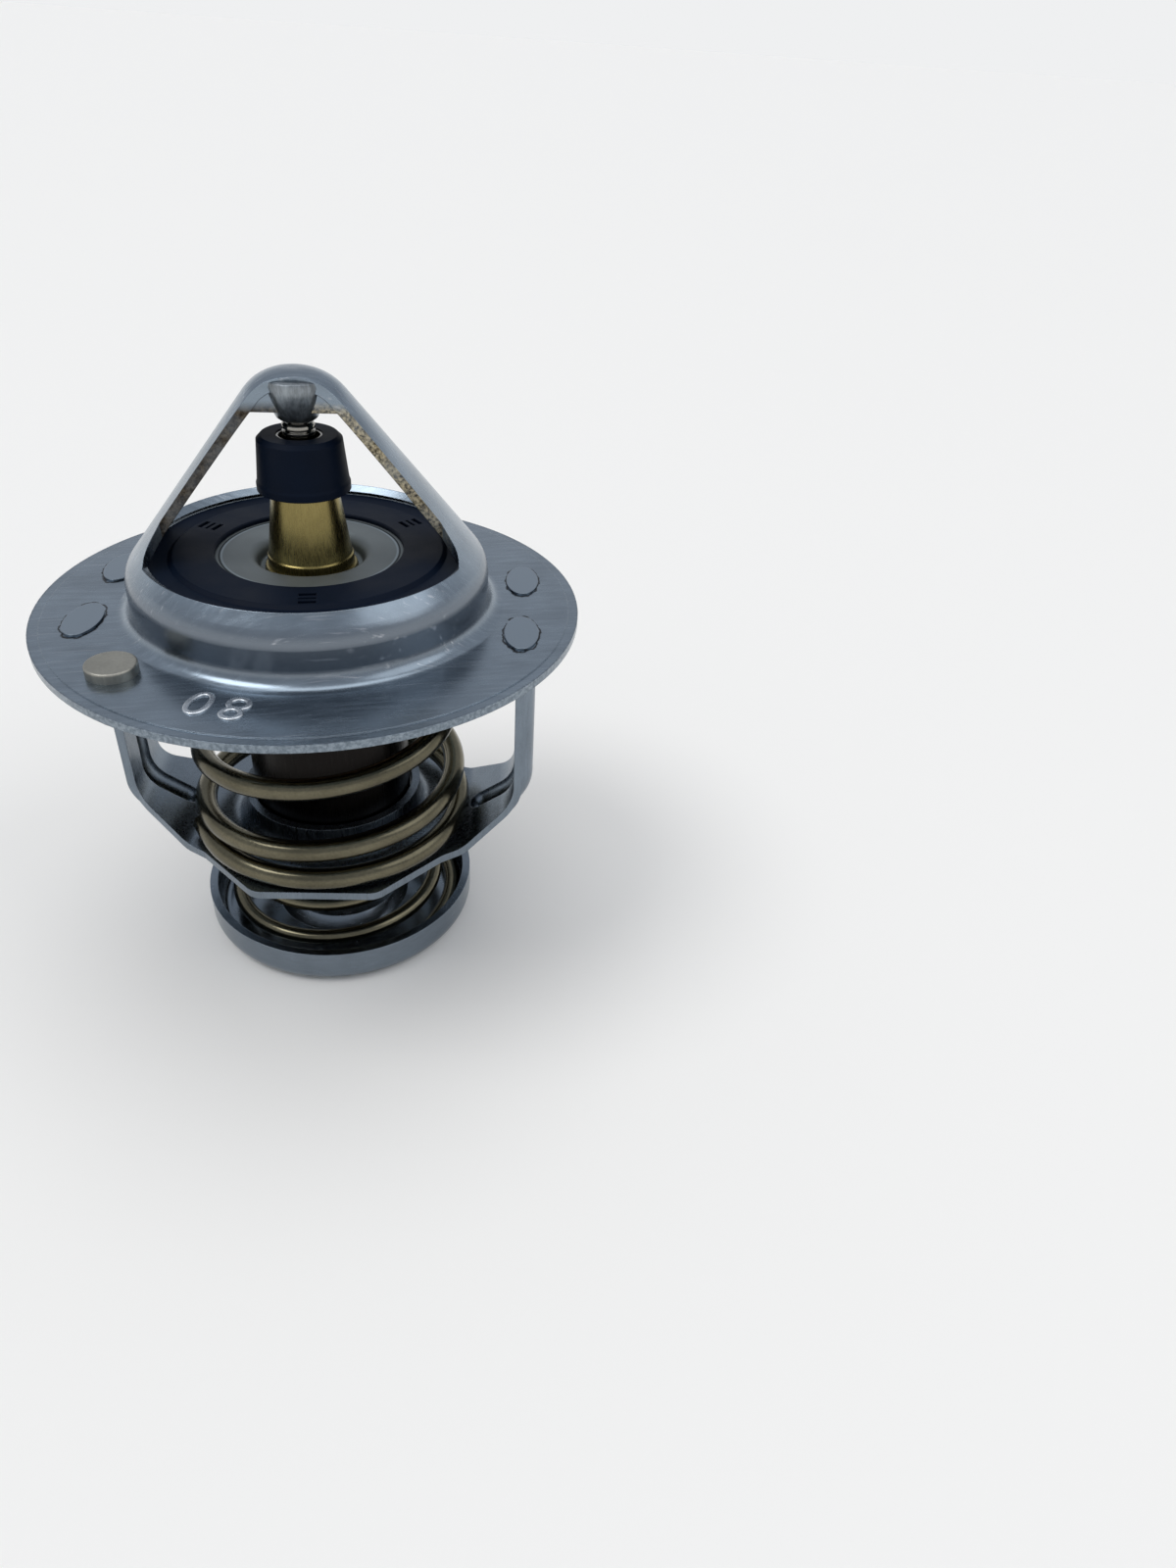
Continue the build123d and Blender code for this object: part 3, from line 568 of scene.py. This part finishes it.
class THERMOSTAT_OT_boss(bpy.types.Operator):
    """Draw the full round of the boss out of the bridge"""

    bl_idname = "thermostat.boss"
    bl_label = "Bridge Boss"

    def execute(self, context):
        colours = context.scene.thermostat_colours
        boss = lathe("drawn_boss", [(r * MM, FLANGE_TOP + z * MM) for r, z in BOSS_OUTLINE])
        # It stands further out of the bridge's sides than along them.
        bpy.ops.transform.resize(value=(1.0, 1.12, 1.0), center_override=(0, 0, FLANGE_TOP))
        bpy.ops.object.transform_apply(location=True, rotation=True, scale=True)
        # Burnished by the punch: the brightest part of the sheet, with upright draw marks.
        boss.data.materials.append(metal("burnished stainless boss", colours.burnished, 0.5, (0.26, 0.4),
                                         0.5, (1.5, 1.5, 0.15), 0.5))
        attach(boss, "frame")
        return {"FINISHED"}


class THERMOSTAT_OT_number(bpy.types.Operator):
    """Stamp a plain number in the flange"""

    bl_idname = "thermostat.number"
    bl_label = "Stamped Number"

    def execute(self, context):
        sizes = context.scene.thermostat_sizes
        colours = context.scene.thermostat_colours
        deselect()
        bpy.ops.object.text_add(align="WORLD", location=(0, 0, 0))
        number = context.object
        number.name = number.data.name = "stamped_number"
        number.data.body = sizes.number
        number.data.align_x, number.data.align_y = "CENTER", "CENTER"
        # A figure is 0.7 of its font's size high.
        number.data.size = sizes.number_height / 0.7
        number.data.space_character = 1.25
        number.data.offset = -0.1 * MM
        number.data.extrude = 0.02 * MM
        number.data.bevel_depth = 0.12 * MM
        number.data.bevel_resolution = 2
        bpy.ops.object.convert(target="MESH")
        number = context.object
        turn = sizes.number_turn
        number.rotation_euler = (0, 0, turn - math.pi / 2)
        number.location = (sizes.number_radius * math.cos(turn), sizes.number_radius * math.sin(turn),
                           FLANGE_TOP + 0.03 * MM)
        bpy.ops.object.transform_apply(location=True, rotation=True, scale=True)
        bpy.ops.object.shade_smooth_by_angle(angle=math.radians(50))
        # The figures are coloured lighter than the sheet as a painted highlight, with burnished slopes.
        number.data.materials.clear()
        number.data.materials.append(metal("struck stainless figures, painted highlight", colours.figures, 0.15, (0.2, 0.35),
                                           0.3, (1.0, 1.0, 1.0), 0.4))
        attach(number, "frame")
        return {"FINISHED"}


class THERMOSTAT_OT_element(bpy.types.Operator):
    """Finish the wax element, its guide, cap and piston"""

    bl_idname = "thermostat.element"
    bl_label = "Wax Element"

    def execute(self, context):
        colours = context.scene.thermostat_colours
        # Moulded nitrile rubber: navy-black, nearly matt, with a faint grey bloom.
        rubber = matt("moulded nitrile rubber", colours.rubber, (0.45, 0.65), 0.25, 0.3, 0.08)
        # Hardened, ground steel: the brightest metal here, in fine rings.
        polished = metal("ground hardened steel", colours.polished, 0.12, (0.08, 0.18), 0.25,
                         (0.2, 0.2, 3.0), 0.15)
        # Free-cutting brass, turned and then handled: olive-yellow, in rings with fine upright scratches.
        dress("guide", metal("turned brass", colours.brass, 0.3, (0.2, 0.36), 0.3,
                             (1.6, 1.6, 0.12), 0.35))
        # Deep-drawn copper: brown with upright draw marks.
        dress("pellet_cup", metal("deep-drawn copper", colours.copper, 0.45, (0.22, 0.38), 0.35,
                                  (2.0, 2.0, 0.08), 0.45, 0.0, (dark_foot,)))
        dress("guide_cap", rubber)
        dress("seal_boot", rubber)
        dress("piston", polished)
        dress("cap_ferrule", polished)
        # Both are hidden in the element: a waxy white plastic, and a brown wax dull with copper powder.
        dress("backing_ring", matt("turned fluoroplastic", colours.plastic, (0.4, 0.5), 0.3, 0.1))
        dress("wax_charge", matt("copper-filled wax", colours.wax, (0.55, 0.7), 0.2, 0.3, 0.3))
        return {"FINISHED"}


class THERMOSTAT_OT_valves(bpy.types.Operator):
    """Finish the main valve, the bypass dish, its stem and the loose pin"""

    bl_idname = "thermostat.valves"
    bl_label = "Valves"

    def execute(self, context):
        colours = context.scene.thermostat_colours
        # Cold-rolled steel disc, tumbled: a warm grey that reflects almost nothing sharp.
        dress("valve_disc", metal("tumbled pressed steel", colours.grey_disc, 0.12, (0.5, 0.65), 0.2,
                                  (1.0, 1.0, 1.0), 0.4, 0.0, (punch_line,)))
        # The ring is the same rubber with the slight shine of its polished mould.
        dress("valve_ring", matt("moulded nitrile rubber, polished mould", colours.rubber, (0.42, 0.6),
                                 0.25, 0.25, 0.07))
        # Pressed from the same strip and smoother: it mirrors the coil that stands in it.
        dress("bypass_disc", metal("pressed stainless dish", colours.bright_sheet, 0.14, (0.16, 0.3),
                                   0.3, (0.15, 0.15, 1.0), 0.2))
        # Turned steel: a soft sheen in fine rings.
        dress("bypass_stem", metal("turned steel", colours.polished, 0.2, (0.2, 0.32), 0.3,
                                   (0.2, 0.2, 2.0), 0.25))
        # Blued spring steel: dark, with a dull shine.
        dress("stem_clip", metal("blued spring steel", colours.blued, 0.2, (0.25, 0.4), 0.3,
                                 (1.0, 1.0, 1.0), 0.2))
        # Dull nickel over a turned head: pale, warm and a little pitted.
        dress("jiggle_pin", metal("dull nickel plate", colours.nickel, 0.2, (0.34, 0.52), 0.3,
                                  (1.0, 1.0, 0.3), 0.45))
        return {"FINISHED"}


class THERMOSTAT_OT_springs(bpy.types.Operator):
    """Coil the main spring and the bypass spring"""

    bl_idname = "thermostat.springs"
    bl_label = "Springs"

    def execute(self, context):
        sizes = context.scene.thermostat_sizes
        colours = context.scene.thermostat_colours
        # Hard-drawn stainless wire, heat-set: dark straw with a narrow bright line along each coil.
        wire = metal("heat-set stainless spring wire", colours.wire, 0.3, (0.13, 0.26), 0.3,
                     (1.0, 1.0, 1.0), 0.3)
        main_coil = wire_coil("main_coil", sizes.main_wire, MAIN_LOW, MAIN_TOP, sizes.main_low_radius,
                              sizes.main_top_radius, sizes.main_turns, sizes.main_start,
                              closed=0, ease_low=1.8, ease_top=1.1, lean=sizes.main_lean)
        bypass_coil = wire_coil("bypass_coil", sizes.bypass_wire, BYPASS_LOW, BYPASS_TOP,
                                sizes.bypass_low_radius, sizes.bypass_top_radius, sizes.bypass_turns,
                                sizes.bypass_start, closed=0.15, ease_low=0.3, ease_top=0.5)
        for coil, node, body, joint, anchor, stroke in (
                (main_coil, "main_spring", "frame", "valve_lift", MAIN_LOW, VALVE_STROKE),
                (bypass_coil, "bypass_spring", "main_valve", "bypass_slide", BYPASS_TOP, BYPASS_STROKE)):
            coil.data.materials.clear()
            coil.data.materials.append(wire)
            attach(coil, body)
            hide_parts(node)
            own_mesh(coil)
        return {"FINISHED"}


STEPS = (THERMOSTAT_OT_stage, THERMOSTAT_OT_frames, THERMOSTAT_OT_boss, THERMOSTAT_OT_number,
         THERMOSTAT_OT_element, THERMOSTAT_OT_valves, THERMOSTAT_OT_springs)


class THERMOSTAT_PT_panel(bpy.types.Panel):
    """The thermostat's pieces and their sizes and colours"""

    bl_idname = "THERMOSTAT_PT_panel"
    bl_label = "Wax Engine Thermostat"
    bl_space_type = "VIEW_3D"
    bl_region_type = "UI"
    bl_category = "Thermostat"

    def draw(self, context):
        layout = self.layout
        for step in STEPS:
            layout.operator(step.bl_idname)
        for group in (context.scene.thermostat_sizes, context.scene.thermostat_colours):
            box = layout.box()
            for name in group.bl_rna.properties.keys():
                if name not in ("rna_type", "name"):
                    box.prop(group, name)


CLASSES = (ThermostatSizes, ThermostatColours) + STEPS + (THERMOSTAT_PT_panel,)


def register():
    for cls in CLASSES:
        bpy.utils.register_class(cls)
    bpy.types.Scene.thermostat_sizes = bpy.props.PointerProperty(type=ThermostatSizes)
    bpy.types.Scene.thermostat_colours = bpy.props.PointerProperty(type=ThermostatColours)


def unregister():
    del bpy.types.Scene.thermostat_colours
    del bpy.types.Scene.thermostat_sizes
    for cls in reversed(CLASSES):
        bpy.utils.unregister_class(cls)


def main():
    register()
    bpy.ops.thermostat.stage()
    bpy.ops.thermostat.frames()
    bpy.ops.thermostat.boss()
    bpy.ops.thermostat.number()
    bpy.ops.thermostat.element()
    bpy.ops.thermostat.valves()
    bpy.ops.thermostat.springs()


if __name__ == "__main__":
    main()
